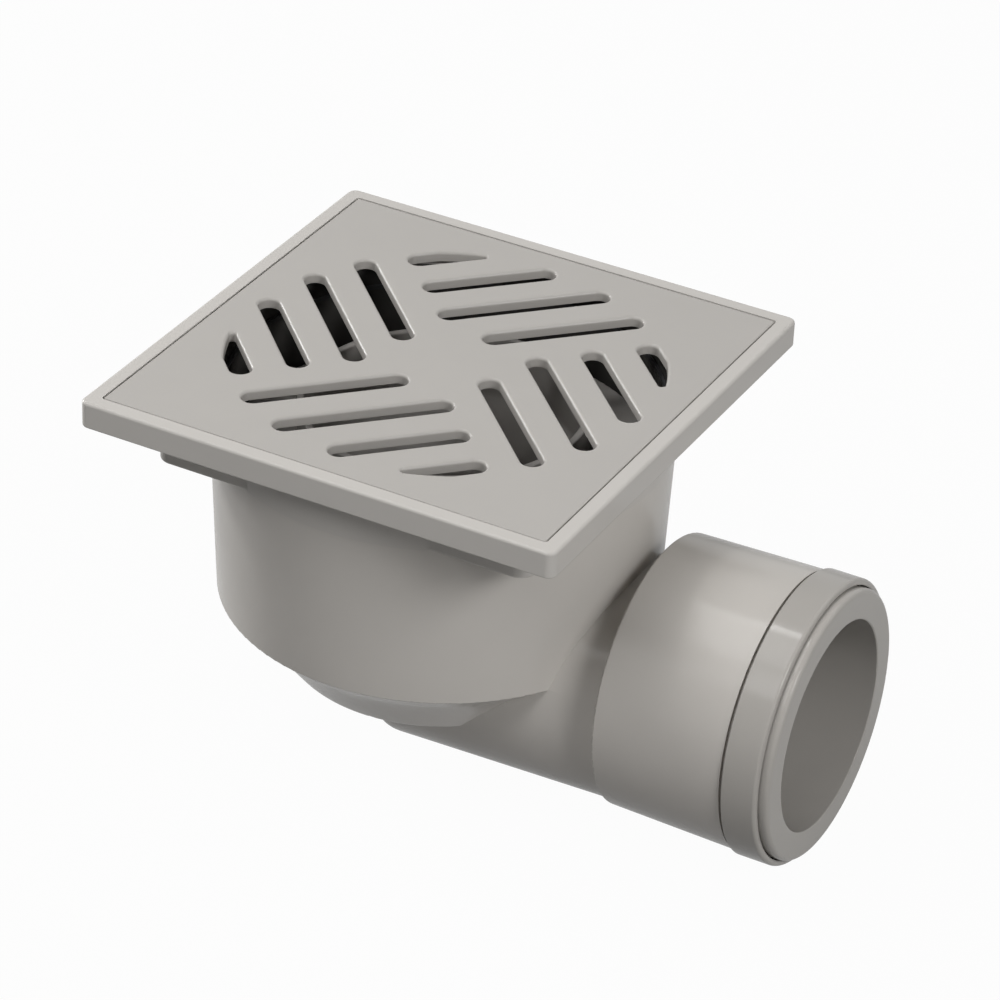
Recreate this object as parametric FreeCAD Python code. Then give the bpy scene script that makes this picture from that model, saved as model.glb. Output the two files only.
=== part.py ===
import FreeCAD, Part
import math
import os
from FreeCAD import Vector

# A floor gully trap: a square rim with a lift-out grate, a round bowl with a low side outlet,
# a removable water seal inside, and a socket that takes a 50 mm drain pipe.
# Millimetres. +Z is up, Z = 0 is the finished floor, +X runs along the outlet.

# Rim and neck
plate_side = 120.0
plate_corner_radius = 2.2
plate_edge_round = 0.8
plate_foot_round = 0.5
rim_height = 6.6
rim_width = 3.65
pocket_corner_radius = 0.9
frame_opening_step = 0.6
frame_floor_thickness = 4.3
neck_side = 96.0
neck_corner_radius = 4.0
neck_foot_round = 0.6
neck_depth = 11.1
neck_step = 0.1
neck_pocket_wall = 2.0
neck_pocket_roof = 2.0

# Grate: each quarter has four slots, and the outermost is cut short by the pattern's edge
grate_gap = 0.4
grate_thickness = 3.7
grate_corner_radius = 0.5
grate_edge_round = 0.3
slot_width = 5.2
slot_count = 4
slot_start = 6.4
first_slot_start = 13.3
pattern_margin = 5.55
slot_end_inset = 3.4
last_slot_inset = 4.025
last_slot_tip_width = 1.37
last_slot_tip_round = 0.6
slot_edge_round = 0.75

# Bowl
bowl_top_radius = 53.5
bowl_base_radius = 51.9
bowl_base_depth = 59.4
bowl_base_round = 0.5
bowl_wall = 2.5
bore_base_lift = 1.0
spigot_inset = 1.6
spigot_wall = 1.6
spigot_clearance = 0.15
base_step = 1.2
base_step_drop = 0.4
band_radius = 44.5
band_drop = 6.1
sump_radius = 35.3
sump_drop = 11.9
sump_floor = 2.6
sump_edge_round = 2.5
seat_rib_count = 6
seat_rib_thickness = 2.0
seat_rib_bearing = 2.3

# Outlet: the pipe runs lower than the socket and widens to its closed end, so that silt drains out
pipe_drop = 3.9
pipe_inset = 4.1
pipe_wall = 2.8
pipe_flare = 1.4
pipe_end_reach = 5.0
pipe_end_round = 6.0
outlet_axis_depth = 64.2
collar_end = 90.25
collar_taper = 0.7
collar_rear_round = 0.7
collar_wall = 3.0
collar_shoulder = 61.0
shoulder_wall = 3.2
nose_step = 0.95
nose_length = 7.25

# Cap ring
cap_gap = 0.85
cap_clearance = 0.15
cap_wall = 1.5
cap_length = 8.5
cap_front_round = 0.9
cap_rear_round = 0.2
cap_inner_rear_round = 0.1
cap_inner_front_round = 0.15

# Outlet bush
pipe_bore_radius = 25.2
bush_clearance = 0.15
bush_wall = 2.4
bush_relief = 2.65
bush_land = 3.5
bush_rear_round = 0.4
bush_flange_step = 0.2
bush_flange_length = 4.15
bush_flange_round = 0.3
bush_face_round = 1.2
bush_mouth_round = 0.3
bush_stop_radius = 23.6
bush_stop_length = 2.0
bush_ring_land = 8.0
bush_ring_inset = 13.5

# Seals
gasket_thickness = 1.0
o_ring_section_radius = 1.0
o_ring_clearance = 0.05

# Dip funnel
funnel_rim_radius = 34.0
funnel_rim_depth = 11.0
funnel_rim_round = 0.5
funnel_wall = 1.8
funnel_taper = 0.6
funnel_shoulder_round = 4.0
funnel_throat_round = 2.0
flange_thickness = 3.0
flange_edge_round = 0.3
flange_depth = 26.5
flange_gap = 0.9
tube_radius = 20.2
tube_lip_round = 0.4
cone_length = 15.5
tube_lift = 7.8
fin_thickness = 1.6
fin_count = 4
fin_drop = 4.0

# Seal cup
cup_side_gap = 2.8
cup_wall = 1.8
cup_floor = 2.0
cup_rim_lift = 3.0
cup_rim_round = 0.5
cup_edge_round = 2.0
cup_corner_round = 0.1
cup_fin_clearance = 0.2

# How far a cutting tool runs past the face that it opens
overrun = 1.0
# Below this length a box or an edge counts as flat
flat_limit = 0.01

# Places worked out from the sizes above
neck_foot = -(rim_height + neck_depth)
neck_radius = bowl_top_radius + neck_step
pocket_side = plate_side - 2 * rim_width
grate_side = pocket_side - 2 * grate_gap
pattern_edge_radius = grate_side / 2 - pattern_margin
slot_pitch = (pattern_edge_radius - last_slot_inset) / (slot_count - 0.5)
frame_floor = -(grate_thickness + frame_floor_thickness)
spigot_radius = bowl_top_radius - spigot_inset
spigot_top = frame_floor - gasket_thickness
bowl_bore_radius = spigot_radius - spigot_wall
frame_opening_radius = bowl_bore_radius + frame_opening_step
socket_bore_radius = spigot_radius + spigot_clearance
band_depth = bowl_base_depth + band_drop
sump_depth = band_depth + sump_drop
floor_top = -(sump_depth - sump_floor)
bore_base_radius = bowl_base_radius - bowl_wall
bore_base = -(bowl_base_depth - bore_base_lift)
bush_waist_radius = pipe_bore_radius + bush_wall
bush_land_radius = bush_waist_radius + bush_relief
chamber_radius = bush_land_radius + bush_clearance
collar_radius = chamber_radius + collar_wall
collar_rear_radius = collar_radius - collar_taper
nose_radius = collar_radius - nose_step
bush_flange_radius = nose_radius - bush_flange_step
cap_inner_radius = nose_radius + cap_clearance
cap_radius = cap_inner_radius + cap_wall
pipe_radius = collar_rear_radius - pipe_inset
pipe_bore = pipe_radius - pipe_wall
pipe_height = -(outlet_axis_depth + pipe_drop)
collar_start = collar_shoulder - shoulder_wall
nose_end = collar_end + nose_length
cone_end = -(flange_depth + cone_length)
cup_radius = sump_radius - bowl_wall - cup_side_gap
cup_floor_top = floor_top + cup_floor
cup_rim = cone_end + cup_rim_lift
tube_end = cup_floor_top + tube_lift
cap_start = collar_end + cap_gap
cap_end = cap_start + cap_length
flange_start = nose_end + cap_clearance
mouth = flange_start + bush_flange_length
bush_ring_station = nose_end - bush_ring_inset
outlet_height = -outlet_axis_depth


def profile_face(corners):
    """Closed face in the XZ plane from (x, z, corner radius) corners, with tangent arcs."""
    count = len(corners)
    edges = []
    spans = []
    for index in range(count):
        before = corners[index - 1]
        here = corners[index]
        after = corners[(index + 1) % count]
        point = Vector(here[0], 0, here[1])
        if here[2] == 0:
            spans.append((point, point))
            continue
        back = (Vector(before[0], 0, before[1]) - point).normalize()
        ahead = (Vector(after[0], 0, after[1]) - point).normalize()
        half_angle = back.getAngle(ahead) / 2
        reach = here[2] / math.tan(half_angle)
        middle = (back + ahead).normalize()
        centre = point + middle * (here[2] / math.sin(half_angle))
        start = point + back * reach
        end = point + ahead * reach
        edges.append(Part.Arc(start, centre - middle * here[2], end).toShape())
        spans.append((start, end))
    for index in range(count):
        start = spans[index][1]
        end = spans[(index + 1) % count][0]
        edges.append(Part.LineSegment(start, end).toShape())
    return Part.Face(Part.Wire(Part.sortEdges(edges)[0]))


def turned_about_z(corners):
    """Solid of revolution about Z from (radius, height, corner radius) corners."""
    return profile_face(corners).revolve(Vector(0, 0, 0), Vector(0, 0, 1), 360)


def turned_about_x(corners, axis_height):
    """Solid of revolution about a line along X from (station, radius, corner radius)."""
    section = profile_face(corners)
    section.translate(Vector(0, 0, axis_height))
    return section.revolve(Vector(0, 0, axis_height), Vector(1, 0, 0), 360)


def square_block(side, low, high, corner_radius):
    """Upright square block on the Z axis with rounded vertical edges."""
    block = Part.makeBox(side, side, high - low, Vector(-side / 2, -side / 2, low))
    upright = [edge for edge in block.Edges if edge.BoundBox.ZLength > flat_limit]
    return block.makeFillet(corner_radius, upright)


def edges_at_height(shape, height, reach=None):
    """Edges that lie flat at a height, and within a radius of Z where one is given."""
    found = []
    for edge in shape.Edges:
        box = edge.BoundBox
        if abs(box.ZMin - height) > flat_limit or abs(box.ZMax - height) > flat_limit:
            continue
        middle = edge.valueAt((edge.FirstParameter + edge.LastParameter) / 2)
        if reach is None or math.hypot(middle.x, middle.y) < reach:
            found.append(edge)
    return found


def around_z(shape, count, first_angle=0.0):
    """Copies of a shape evenly spaced about Z."""
    copies = []
    for index in range(count):
        copy = shape.copy()
        copy.rotate(Vector(0, 0, 0), Vector(0, 0, 1), first_angle + 360 * index / count)
        copies.append(copy)
    return copies


def ring_torus(major_radius, minor_radius, centre, axis):
    """Round-section ring."""
    return Part.makeTorus(major_radius, minor_radius, centre, axis)


def make_rim_frame():
    """Square rim with the grate's pocket, a square neck below it and a socket for the bowl."""
    rim = square_block(plate_side, -rim_height, 0, plate_corner_radius)
    rim = rim.makeFillet(plate_edge_round, edges_at_height(rim, 0))
    rim = rim.makeFillet(plate_foot_round, edges_at_height(rim, -rim_height))
    neck_top = -rim_height / 2
    neck = square_block(neck_side, neck_foot, neck_top, neck_corner_radius)
    neck = neck.makeFillet(neck_foot_round, edges_at_height(neck, neck_foot))
    barrel = Part.makeCylinder(neck_radius, neck_top - neck_foot, Vector(0, 0, neck_foot))
    pocket = square_block(pocket_side, -grate_thickness, overrun, pocket_corner_radius)
    opening = Part.makeCylinder(frame_opening_radius, 2 * rim_height, Vector(0, 0, -2 * rim_height))
    socket = Part.makeCylinder(socket_bore_radius, frame_floor - neck_foot, Vector(0, 0, neck_foot))
    frame = rim.fuse([neck, barrel]).cut([pocket, opening, socket])
    frame = frame.cut(neck_corner_pocket())
    return frame.removeSplitter()


def neck_corner_pocket():
    """Hollows that keep the neck's four corners at an even wall, open below."""
    roof = -rim_height - neck_pocket_roof
    inner_side = neck_side - 2 * neck_pocket_wall
    block = square_block(inner_side, neck_foot, roof, neck_corner_radius - neck_pocket_wall)
    core_radius = socket_bore_radius + neck_pocket_wall
    core = Part.makeCylinder(core_radius, roof - neck_foot, Vector(0, 0, neck_foot))
    return block.cut(core)


def slot_cutter(index):
    """One slot of a quarter as a tall block, lying along +X before it is turned by 45 degrees."""
    offset = slot_pitch * (index + 0.5)
    start = first_slot_start if index == 0 else slot_start
    half = slot_width / 2
    low = -2 * grate_thickness
    height = -low + overrun
    near = Part.makeCylinder(half, height, Vector(start, offset, low))
    if index < slot_count - 1:
        end = math.sqrt((pattern_edge_radius - slot_end_inset) ** 2 - offset ** 2)
        far = Part.makeCylinder(half, height, Vector(end, offset, low))
        bar = Part.makeBox(end - start, slot_width, height, Vector(start, offset - half, low))
        cutter = bar.fuse([near, far]).removeSplitter()
    else:
        end = math.sqrt(pattern_edge_radius ** 2 - (offset - half + last_slot_tip_width) ** 2)
        bar = Part.makeBox(end - start, slot_width, height, Vector(start, offset - half, low))
        pattern_edge = Part.makeCylinder(pattern_edge_radius, height, Vector(0, 0, low))
        cutter = bar.fuse(near).common(pattern_edge).removeSplitter()
        tips = [edge for edge in cutter.Edges if is_upright_at(edge, end)]
        cutter = cutter.makeFillet(last_slot_tip_round, tips)
    cutter.rotate(Vector(0, 0, 0), Vector(0, 0, 1), 45)
    return cutter


def is_upright_at(edge, station):
    """True for a vertical edge at a place along X."""
    box = edge.BoundBox
    upright = box.ZLength > grate_thickness and box.XLength < flat_limit
    return upright and abs(box.XMin - station) < flat_limit


def make_grate():
    """Flat square grate with four quarters of slanting slots."""
    grate = square_block(grate_side, -grate_thickness, 0, grate_corner_radius)
    grate = grate.makeFillet(grate_edge_round, edges_at_height(grate, 0))
    cutters = []
    for index in range(slot_count):
        cutters += around_z(slot_cutter(index), 4)
    grate = grate.cut(cutters)
    return grate.makeFillet(slot_edge_round, edges_at_height(grate, 0, grate_side / 2 - slot_edge_round))


def make_trap_bowl():
    """Bowl, sump, outlet pipe and socket collar, moulded as one."""
    outside = turned_about_z([
        (0, -sump_depth, 0),
        (sump_radius, -sump_depth, sump_edge_round),
        (band_radius, -band_depth, 0),
        (bowl_base_radius - base_step, -bowl_base_depth - base_step_drop, 0),
        (bowl_base_radius, -bowl_base_depth, bowl_base_round),
        (bowl_top_radius, neck_foot, 0),
        (spigot_radius, neck_foot, 0),
        (spigot_radius, spigot_top, 0),
        (0, spigot_top, 0),
    ])
    inside = turned_about_z([
        (0, floor_top, 0),
        (sump_radius - bowl_wall, floor_top, sump_edge_round / 2),
        (band_radius - bowl_wall, -band_depth + bowl_wall / 2, 0),
        (bore_base_radius, bore_base, 0),
        (bowl_bore_radius, spigot_top, 0),
        (bowl_bore_radius, spigot_top + overrun, 0),
        (0, spigot_top + overrun, 0),
    ])
    pipe = turned_about_x([
        (-pipe_end_reach, 0, 0),
        (-pipe_end_reach, pipe_radius + pipe_flare, pipe_end_round),
        (collar_shoulder, pipe_radius, 0),
        (collar_shoulder, 0, 0),
    ], pipe_height)
    collar = turned_about_x([
        (collar_start, 0, 0),
        (collar_start, collar_rear_radius, collar_rear_round),
        (collar_end, collar_radius, 0),
        (collar_end, nose_radius, 0),
        (nose_end, nose_radius, 0),
        (nose_end, 0, 0),
    ], outlet_height)
    pipe_bore_start = pipe_wall - pipe_end_reach
    pipe_hollow = turned_about_x([
        (pipe_bore_start, 0, 0),
        (pipe_bore_start, pipe_bore, 0),
        (collar_shoulder + overrun, pipe_bore, 0),
        (collar_shoulder + overrun, 0, 0),
    ], pipe_height)
    chamber = turned_about_x([
        (collar_shoulder, 0, 0),
        (collar_shoulder, chamber_radius, 0),
        (nose_end + overrun, chamber_radius, 0),
        (nose_end + overrun, 0, 0),
    ], outlet_height)
    ribs = around_z(seat_rib(), seat_rib_count, 180 / seat_rib_count)
    shell = outside.fuse([pipe, collar]).cut(inside)
    shell = shell.fuse(ribs).cut([pipe_hollow, chamber])
    return shell.removeSplitter()


def seat_rib():
    """Upright rib on the bowl's wall whose top carries the funnel's flange."""
    root = bowl_wall / 2
    depth = flange_gap + seat_rib_bearing
    section = profile_face([
        (bowl_bore_at(-flange_depth) - depth, -flange_depth, 0),
        (bowl_bore_at(-flange_depth) + root, -flange_depth, 0),
        (bore_base_radius + root, bore_base, 0),
        (bore_base_radius - depth, bore_base, 0),
    ])
    section.translate(Vector(0, -seat_rib_thickness / 2, 0))
    return section.extrude(Vector(0, seat_rib_thickness, 0))


def make_neck_gasket():
    """Flat rubber ring between the bowl's spigot and the frame."""
    ring = Part.makeCylinder(spigot_radius, gasket_thickness, Vector(0, 0, spigot_top))
    hole = Part.makeCylinder(bowl_bore_radius, gasket_thickness, Vector(0, 0, spigot_top))
    return ring.cut(hole)


def bowl_bore_at(height):
    """Radius of the bowl's bore at a height."""
    share = (spigot_top - height) / (spigot_top - bore_base)
    return bowl_bore_radius + share * (bore_base_radius - bowl_bore_radius)


def make_dip_funnel():
    """Funnel with a flange that sits in the bowl, and a tube that dips into the cup."""
    flange_radius = bowl_bore_at(-flange_depth) - flange_gap
    flange_top = -flange_depth + flange_thickness
    foot_radius = funnel_rim_radius - funnel_taper
    bore_radius = tube_radius - funnel_wall
    cone_rise = funnel_wall / 2
    funnel = turned_about_z([
        (funnel_rim_radius - funnel_wall, -funnel_rim_depth, funnel_rim_round),
        (funnel_rim_radius, -funnel_rim_depth, funnel_rim_round),
        (foot_radius, flange_top, 0),
        (flange_radius, flange_top, flange_edge_round),
        (flange_radius, -flange_depth, flange_edge_round),
        (foot_radius, -flange_depth, 0),
        (tube_radius, cone_end, funnel_throat_round),
        (tube_radius, tube_end, tube_lip_round),
        (bore_radius, tube_end, tube_lip_round),
        (bore_radius, cone_end + cone_rise, funnel_throat_round),
        (foot_radius - funnel_wall, -flange_depth + cone_rise, funnel_shoulder_round),
    ])
    groove_radius = o_ring_section_radius + o_ring_clearance
    groove = ring_torus(o_ring_radius(), groove_radius, o_ring_centre(), Vector(0, 0, 1))
    fins = around_z(funnel_fin(), fin_count, 180 / fin_count)
    return funnel.cut(groove).fuse(fins).removeSplitter()


def o_ring_centre():
    """Middle of the funnel flange's groove."""
    return Vector(0, 0, -flange_depth + flange_thickness / 2)


def o_ring_radius():
    """Centre-line radius of the ring that seals the funnel in the bowl."""
    lowest = o_ring_centre().z - o_ring_section_radius
    return bowl_bore_at(lowest) - o_ring_section_radius - o_ring_clearance


def funnel_fin():
    """Upright fin on the dip tube that centres the cup and stands on its floor."""
    inner = tube_radius - funnel_wall / 2
    outer = cup_radius - cup_wall - cup_fin_clearance
    corner = Vector(inner, -fin_thickness / 2, cup_floor_top)
    return Part.makeBox(outer - inner, fin_thickness, cone_end - fin_drop - cup_floor_top, corner)


def make_funnel_o_ring():
    """Rubber ring in the funnel flange's groove."""
    return ring_torus(o_ring_radius(), o_ring_section_radius, o_ring_centre(), Vector(0, 0, 1))


def make_seal_cup():
    """Cup that holds the water seal and stands on the bowl's floor."""
    inner = cup_radius - cup_wall
    return turned_about_z([
        (0, floor_top, 0),
        (cup_radius, floor_top, cup_edge_round),
        (cup_radius, cup_rim, cup_rim_round),
        (inner, cup_rim, cup_rim_round),
        (inner, cup_floor_top, cup_corner_round),
        (0, cup_floor_top, 0),
    ])


def make_outlet_bush():
    """Bush in the collar with the pipe's bore, a stop, a flange and a ring groove."""
    rear = collar_shoulder + bush_clearance
    ring_low = bush_ring_station - bush_ring_land / 2
    ring_high = bush_ring_station + bush_ring_land / 2
    bush = turned_about_x([
        (rear, bush_stop_radius, 0),
        (rear, bush_land_radius, bush_rear_round),
        (rear + bush_land, bush_land_radius, 0),
        (rear + bush_land, bush_waist_radius, 0),
        (ring_low, bush_waist_radius, 0),
        (ring_low, bush_land_radius, 0),
        (ring_high, bush_land_radius, 0),
        (ring_high, bush_waist_radius, 0),
        (nose_end - bush_land, bush_waist_radius, 0),
        (nose_end - bush_land, bush_land_radius, 0),
        (flange_start, bush_land_radius, 0),
        (flange_start, bush_flange_radius, bush_flange_round),
        (mouth, bush_flange_radius, bush_face_round),
        (mouth, pipe_bore_radius, bush_mouth_round),
        (rear + bush_stop_length, pipe_bore_radius, 0),
        (rear + bush_stop_length, bush_stop_radius, 0),
    ], outlet_height)
    groove_radius = o_ring_section_radius + o_ring_clearance
    groove = ring_torus(bush_ring_radius(), groove_radius, bush_ring_centre(), Vector(1, 0, 0))
    return bush.cut(groove)


def bush_ring_centre():
    """Middle of the bush's ring groove."""
    return Vector(bush_ring_station, 0, outlet_height)


def bush_ring_radius():
    """Centre-line radius of the ring that seals the bush in the collar."""
    return chamber_radius - o_ring_section_radius - o_ring_clearance


def make_bush_o_ring():
    """Rubber ring between the bush and the collar."""
    return ring_torus(bush_ring_radius(), o_ring_section_radius, bush_ring_centre(), Vector(1, 0, 0))


def make_cap_ring():
    """Ring over the collar's nose that closes the joint round the bush."""
    return turned_about_x([
        (cap_start, cap_inner_radius, cap_inner_rear_round),
        (cap_start, cap_radius, cap_rear_round),
        (cap_end, cap_radius, cap_front_round),
        (cap_end, cap_inner_radius, cap_inner_front_round),
    ], outlet_height)


pieces = {
    "rim_frame": make_rim_frame(),
    "grate": make_grate(),
    "trap_bowl": make_trap_bowl(),
    "neck_gasket": make_neck_gasket(),
    "dip_funnel": make_dip_funnel(),
    "funnel_o_ring": make_funnel_o_ring(),
    "seal_cup": make_seal_cup(),
    "outlet_bush": make_outlet_bush(),
    "bush_o_ring": make_bush_o_ring(),
    "cap_ring": make_cap_ring(),
}

os.makedirs("parts", exist_ok=True)
for name, shape in pieces.items():
    box = shape.BoundBox
    sizes = [round(value, 2) for value in (box.XMin, box.YMin, box.ZMin, box.XMax, box.YMax, box.ZMax)]
    print(name, "valid", shape.isValid(), "solids", len(shape.Solids), "volume", round(shape.Volume, 1))
    print("    box", sizes)
    shape.exportStep("parts/" + name + ".step")
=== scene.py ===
import math

import bmesh
import bpy
from mathutils import Matrix, Vector


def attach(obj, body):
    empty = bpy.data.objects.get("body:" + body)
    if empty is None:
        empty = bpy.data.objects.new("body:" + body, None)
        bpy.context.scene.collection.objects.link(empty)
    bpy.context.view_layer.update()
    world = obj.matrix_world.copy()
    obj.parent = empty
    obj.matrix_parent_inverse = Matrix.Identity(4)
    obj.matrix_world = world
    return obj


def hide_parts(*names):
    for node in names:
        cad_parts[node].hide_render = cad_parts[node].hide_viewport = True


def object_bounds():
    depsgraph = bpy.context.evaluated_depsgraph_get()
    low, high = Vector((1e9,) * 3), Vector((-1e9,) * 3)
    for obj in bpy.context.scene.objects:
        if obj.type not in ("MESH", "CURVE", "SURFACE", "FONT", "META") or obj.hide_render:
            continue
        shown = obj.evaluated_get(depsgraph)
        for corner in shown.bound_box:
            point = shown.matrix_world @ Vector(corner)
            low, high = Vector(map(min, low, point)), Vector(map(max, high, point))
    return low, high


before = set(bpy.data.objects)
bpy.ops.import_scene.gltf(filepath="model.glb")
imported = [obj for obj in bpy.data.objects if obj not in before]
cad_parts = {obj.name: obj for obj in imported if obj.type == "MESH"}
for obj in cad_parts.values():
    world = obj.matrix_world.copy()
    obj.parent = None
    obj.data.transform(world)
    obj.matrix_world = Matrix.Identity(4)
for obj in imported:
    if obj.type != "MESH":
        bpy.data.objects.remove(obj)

# A floor gully trap in warm grey plastic, seen from the front right and above.
# Metres throughout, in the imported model's frame: +Z up, +X out of the outlet.

cad_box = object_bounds()

# The photograph's view, as a camera round a point on the plate's plane
photo_width = 1000
sensor_width = 36.0
view_azimuth = math.radians(27.61)
view_elevation = math.radians(31.89)
view_roll = math.radians(2.38)
view_distance = 0.9411
view_target = Vector((0.0397, -0.0466, 0.0))
focal_in_pixels = 4367.8

# Painted shade: the bowl and the frame are darkened inside this radius and above this height,
# to this share of the plastic's brightness, so that they look dark through the slots; their plastic is
# the same grey
bore_radius = 0.0512
bore_foot = -0.058
painted_bore_shade = 0.1

# The grate's slot walls are shorter than its rim: inside the reach,
# what lies lower than grate_underside is raised to slot_wall_foot
grate_underside = -0.0036
pattern_reach = 0.052
slot_wall_foot = -0.0025

# The lamps face a point near the trap's middle, from the same distance
lamp_aim = Vector((0.02, 0.0, -0.04))
lamp_distance = 1.1

# Half the floor's side, its paint, and how white it looks to the camera and, as a share of that, in gloss
floor_reach = 3.0
floor_colour = (0.3, 0.3, 0.3, 1.0)
floor_whiteness = 0.97
floor_in_gloss = 0.5
white = (1.0, 1.0, 1.0, 1.0)

# Features to the metre in the plastic's noise, the depth of its relief, how far its tone and its
# roughness vary, and its specular level
cloud_scale = 32.0
flow_scale = 140.0
pore_scale = 2400.0
peel_scale = 420.0
relief_depth = 0.0004
darkest_flow = 0.965
lightest_flow = 1.035
roughness_spread = 0.08
plastic_specular = 0.15

# Edges that turn by more than this stay sharp, and points nearer than this are one
crease_angle = math.radians(28.0)
weld_distance = 0.000004


class Wire:
    """A shader socket that adds Math nodes when it is used in an expression."""

    def __init__(self, finish, socket):
        self.finish = finish
        self.socket = socket

    def maths(self, operation, *values):
        return self.finish.node("ShaderNodeMath", {"operation": operation}, dict(enumerate(values)))

    def __add__(self, other):
        return self.maths("ADD", self, other)

    __radd__ = __add__

    def __sub__(self, other):
        return self.maths("SUBTRACT", self, other)

    def __rsub__(self, other):
        return self.maths("SUBTRACT", other, self)

    def __mul__(self, other):
        return self.maths("MULTIPLY", self, other)

    __rmul__ = __mul__

    def larger_of(self, other):
        return self.maths("MAXIMUM", self, other)


class Finish:
    """The nodes of a material, or of the world."""

    def __init__(self, owner):
        self.owner = owner
        owner.use_nodes = True
        self.tree = owner.node_tree
        self.tree.nodes.clear()

    def node(self, kind, settings=None, inputs=None, output=0):
        """Adds a node, sets it, feeds its sockets with values or wires, and returns an output."""
        made = self.tree.nodes.new(kind)
        for key, value in (settings or {}).items():
            setattr(made, key, value)
        for key, value in (inputs or {}).items():
            if isinstance(value, Wire):
                self.tree.links.new(value.socket, made.inputs[key])
            else:
                made.inputs[key].default_value = value
        if not made.outputs:
            return None
        return Wire(self, made.outputs[output])

    def noise(self, place, scale, detail):
        """Noise on a place, with so many features to the metre."""
        inputs = {"Vector": place, "Scale": scale, "Detail": detail}
        return self.node("ShaderNodeTexNoise", {}, inputs, "Fac")

    def blend(self, share, first, second):
        """A colour between two."""
        inputs = {0: share, 6: first, 7: second}
        return self.node("ShaderNodeMix", {"data_type": "RGBA"}, inputs, 2)


def shade(colour, factor):
    """A colour made lighter or darker, with full alpha."""
    return [min(1.0, channel * factor) for channel in colour] + [1.0]


def bore_shade_mask(finish, place):
    """1 on the walls inside the bowl's bore, where shade is painted, 0 on the outside."""
    across = {0: place, 1: (1.0, 1.0, 0.0)}
    upward = {0: place, 1: (0.0, 0.0, 1.0)}
    flat = finish.node("ShaderNodeVectorMath", {"operation": "MULTIPLY"}, across)
    radius = finish.node("ShaderNodeVectorMath", {"operation": "LENGTH"}, {0: flat}, "Value")
    height = finish.node("ShaderNodeVectorMath", {"operation": "DOT_PRODUCT"}, upward, "Value")
    near_axis = radius.maths("LESS_THAN", radius, bore_radius)
    above_foot = height.maths("GREATER_THAN", height, bore_foot)
    return near_axis * above_foot


def moulded_plastic(name, colour, roughness, grain, paint_shade_in_bore=False):
    """Injection-moulded plastic: faint flow clouding, uneven gloss, the mould's fine grain, and painted
    shade in the bowl's bore if asked.
    """
    finish = Finish(bpy.data.materials.new(name))
    place = finish.node("ShaderNodeTexCoord", output="Object")
    clouds = finish.noise(place, cloud_scale, 3.0)
    flow = finish.noise(place, flow_scale, 4.0)
    pores = finish.noise(place, pore_scale, 2.0)
    orange_peel = finish.noise(place, peel_scale, 2.0)
    mottle = clouds * 0.7 + flow * 0.3
    tone = finish.blend(mottle, shade(colour, darkest_flow), shade(colour, lightest_flow))
    # Painted shade: the walls inside the bore are darkened, though the plastic there is the same grey
    if paint_shade_in_bore:
        tone = finish.blend(bore_shade_mask(finish, place), tone, shade(colour, painted_bore_shade))
    relief = pores * 0.35 + orange_peel * 0.65
    skin = {"Strength": grain, "Distance": relief_depth, "Height": relief}
    bump = finish.node("ShaderNodeBump", {}, skin)
    shader = finish.node("ShaderNodeBsdfPrincipled", {}, {
        "Base Color": tone,
        "Roughness": roughness + (flow - 0.5) * roughness_spread,
        "Normal": bump,
        "Specular IOR Level": plastic_specular,
    })
    finish.node("ShaderNodeOutputMaterial", {}, {"Surface": shader})
    return finish.owner


def black_rubber(name):
    """Matt black rubber with a dusty bloom."""
    finish = Finish(bpy.data.materials.new(name))
    place = finish.node("ShaderNodeTexCoord", output="Object")
    bloom = finish.noise(place, 90.0, 5.0)
    tone = finish.blend(bloom, (0.016, 0.016, 0.017, 1.0), (0.034, 0.034, 0.036, 1.0))
    shader = finish.node("ShaderNodeBsdfPrincipled", {}, {
        "Base Color": tone,
        "Roughness": 0.7 + (bloom - 0.5) * 0.1,
    })
    finish.node("ShaderNodeOutputMaterial", {}, {"Surface": shader})
    return finish.owner


def thin_slots(shell):
    """Raises the grate's underside round its slots, so that their walls are shorter than its rim."""
    for vertex in shell.verts:
        place = vertex.co
        if place.z < grate_underside and math.hypot(place.x, place.y) < pattern_reach:
            place.z = slot_wall_foot


def smooth_skin(node):
    """A smoothly shaded copy of a CAD node, with its creases kept sharp, that stands for it."""
    shell = bmesh.new()
    shell.from_mesh(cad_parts[node].data)
    bmesh.ops.remove_doubles(shell, verts=shell.verts, dist=weld_distance)
    if node == "grate":
        thin_slots(shell)
    for face in shell.faces:
        face.smooth = True
    for edge in shell.edges:
        edge.smooth = len(edge.link_faces) == 2 and edge.calc_face_angle(0.0) < crease_angle
    mesh = bpy.data.meshes.new(node + "_skin")
    shell.to_mesh(mesh)
    shell.free()
    piece = bpy.data.objects.new(node + "_skin", mesh)
    bpy.context.scene.collection.objects.link(piece)
    even = piece.modifiers.new("even shading", "WEIGHTED_NORMAL")
    even.keep_sharp = True
    even.weight = 100
    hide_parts(node)
    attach(piece, "root")
    return piece


def paint(piece, material):
    """One material on a piece."""
    piece.data.materials.clear()
    piece.data.materials.append(material)


def bearing(azimuth, elevation):
    """Unit vector away from the trap: azimuth 0 is in front, 90 is on the outlet's side."""
    a = math.radians(azimuth)
    e = math.radians(elevation)
    return Vector((math.sin(a) * math.cos(e), -math.cos(a) * math.cos(e), math.sin(e)))


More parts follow.
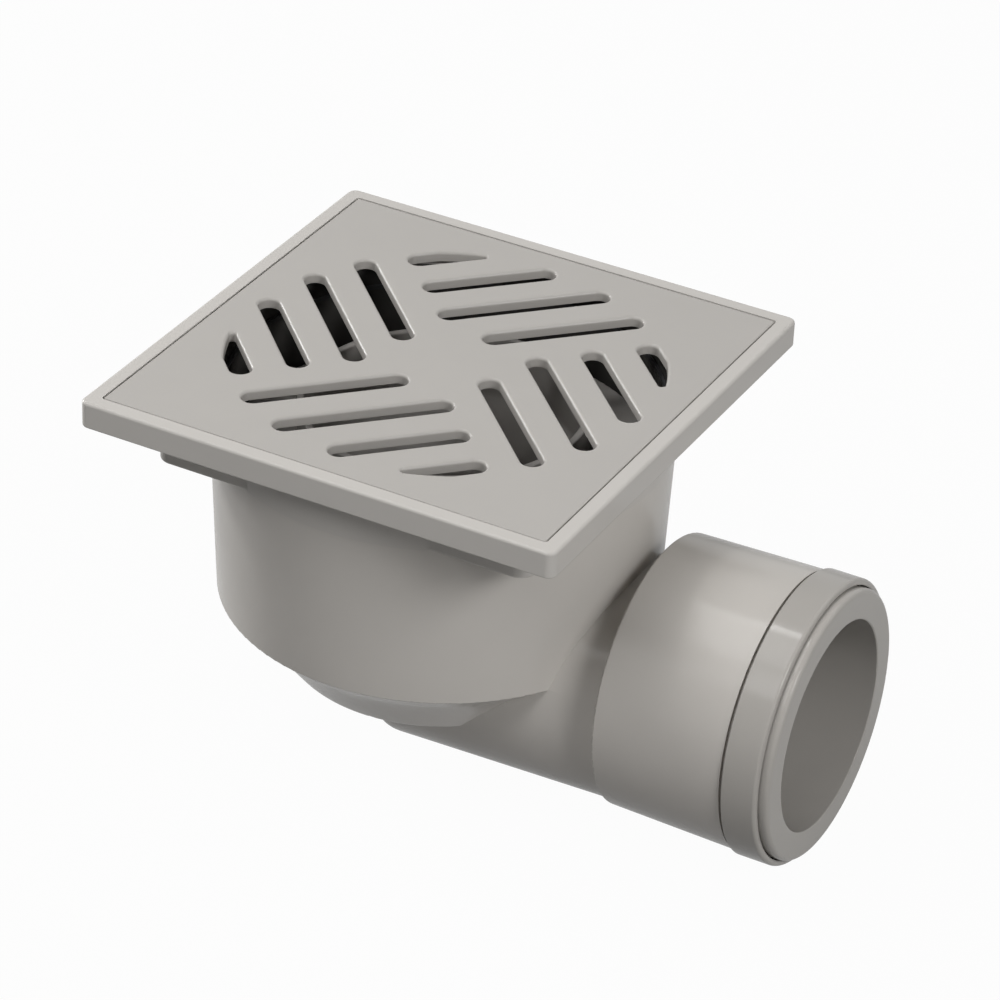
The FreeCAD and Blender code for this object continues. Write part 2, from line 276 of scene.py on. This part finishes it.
def place_camera():
    """The photograph's camera."""
    back = bearing(math.degrees(view_azimuth), math.degrees(view_elevation))
    level_right = (-back).cross(Vector((0, 0, 1))).normalized()
    level_up = level_right.cross(-back)
    right = math.cos(view_roll) * level_right + math.sin(view_roll) * level_up
    up = math.cos(view_roll) * level_up - math.sin(view_roll) * level_right
    data = bpy.data.cameras.new("photo_camera")
    data.sensor_width = sensor_width
    data.lens = focal_in_pixels / photo_width * sensor_width
    data.clip_start = 0.01
    data.clip_end = 20.0
    camera = bpy.data.objects.new("photo_camera", data)
    camera.matrix_world = Matrix((right, up, back)).transposed().to_4x4()
    camera.location = view_target + back * view_distance
    bpy.context.scene.collection.objects.link(camera)
    bpy.context.scene.camera = camera


def soft_lamp(name, azimuth, elevation, width, height, power):
    """A softbox that faces the trap, so wide and high in metres, with its power in watts."""
    away = bearing(azimuth, elevation)
    data = bpy.data.lights.new(name, "AREA")
    data.shape = "RECTANGLE"
    data.size = width
    data.size_y = height
    data.energy = power
    lamp = bpy.data.objects.new(name, data)
    lamp.location = lamp_aim + away * lamp_distance
    lamp.rotation_mode = "QUATERNION"
    lamp.rotation_quaternion = away.to_track_quat("Z", "Y")
    bpy.context.scene.collection.objects.link(lamp)


def looked_at(finish, gloss):
    """1 for rays from the camera or through glass, a share for rays that gloss sends on, else 0."""
    camera = finish.node("ShaderNodeLightPath", output="Is Camera Ray")
    glossy = finish.node("ShaderNodeLightPath", output="Is Glossy Ray")
    through = finish.node("ShaderNodeLightPath", output="Is Transmission Ray")
    return camera.larger_of(glossy * gloss).larger_of(through)


def white_surroundings():
    """A world that looks white to the camera and in gloss, and gives the trap no light of its own."""
    world = bpy.data.worlds.new("studio")
    finish = Finish(world)
    lit = finish.node("ShaderNodeBackground", {}, {"Color": white, "Strength": 0.0})
    seen = finish.node("ShaderNodeBackground", {}, {"Color": white, "Strength": 1.0})
    mix = finish.node("ShaderNodeMixShader", {}, {0: looked_at(finish, 1.0), 1: lit, 2: seen})
    finish.node("ShaderNodeOutputWorld", {}, {"Surface": mix})
    bpy.context.scene.world = world


def pale_floor():
    """A wide pale floor that looks white, greyer in the plastic's gloss, and keeps a faint shadow."""
    plane = bmesh.new()
    bmesh.ops.create_grid(plane, x_segments=1, y_segments=1, size=floor_reach)
    bmesh.ops.translate(plane, verts=plane.verts, vec=Vector((0, 0, cad_box[0].z)))
    mesh = bpy.data.meshes.new("floor")
    plane.to_mesh(mesh)
    plane.free()
    floor = bpy.data.objects.new("floor", mesh)
    bpy.context.scene.collection.objects.link(floor)
    finish = Finish(bpy.data.materials.new("pale_floor"))
    paint_coat = finish.node("ShaderNodeBsdfDiffuse", {}, {"Color": floor_colour})
    glow = finish.node("ShaderNodeEmission", {}, {"Color": white, "Strength": 1.0})
    share = looked_at(finish, floor_in_gloss) * floor_whiteness
    mix = finish.node("ShaderNodeMixShader", {}, {0: share, 1: paint_coat, 2: glow})
    finish.node("ShaderNodeOutputMaterial", {}, {"Surface": mix})
    mesh.materials.append(finish.owner)


bpy.context.scene.view_settings.view_transform = "Standard"
place_camera()
white_surroundings()
pale_floor()
soft_lamp("right", 70, 35, 0.3, 0.3, 5.1)
soft_lamp("right_low", 68, 12, 0.1, 0.5, 1.5)
soft_lamp("left", -96, 30, 0.3, 0.3, 3.5)
soft_lamp("left_low", -100, 8, 0.3, 0.3, 5.4)
soft_lamp("left_high", -60, 65, 0.5, 0.5, 4.1)
soft_lamp("cap_glint", -109, 73, 0.06, 0.06, 0.6)
soft_lamp("front_high", -10, 50, 0.4, 0.4, 3.2)
soft_lamp("behind", 160, 45, 0.4, 0.4, 1.0)

# Painted light: the frame and body are written lighter, and the grate and bush darker, than the one grey
# plastic they share, to make up for how the lamps fall on their faces. The frame and the body also take
# the painted shade inside the bowl's bore (the last True)
finishes = {
    "frame_plastic": moulded_plastic("frame moulding", (0.52, 0.499, 0.471), 0.16, 0.03, True),
    "grate_plastic": moulded_plastic("grate moulding", (0.42, 0.402, 0.379), 0.2, 0.03),
    "body_plastic": moulded_plastic("body moulding", (0.54, 0.515, 0.482), 0.18, 0.03, True),
    "bush_plastic": moulded_plastic("bush moulding", (0.41, 0.391, 0.365), 0.15, 0.03),
    "insert_plastic": moulded_plastic("insert moulding", (0.34, 0.322, 0.305), 0.3, 0.05),
    "seal_rubber": black_rubber("seal"),
}
slots = {
    "rim_frame": "frame_plastic",
    "grate": "grate_plastic",
    "trap_bowl": "body_plastic",
    "neck_gasket": "seal_rubber",
    "dip_funnel": "insert_plastic",
    "funnel_o_ring": "seal_rubber",
    "seal_cup": "insert_plastic",
    "outlet_bush": "bush_plastic",
    "bush_o_ring": "seal_rubber",
    "cap_ring": "bush_plastic",
}
for node, slot in slots.items():
    paint(smooth_skin(node), finishes[slot])
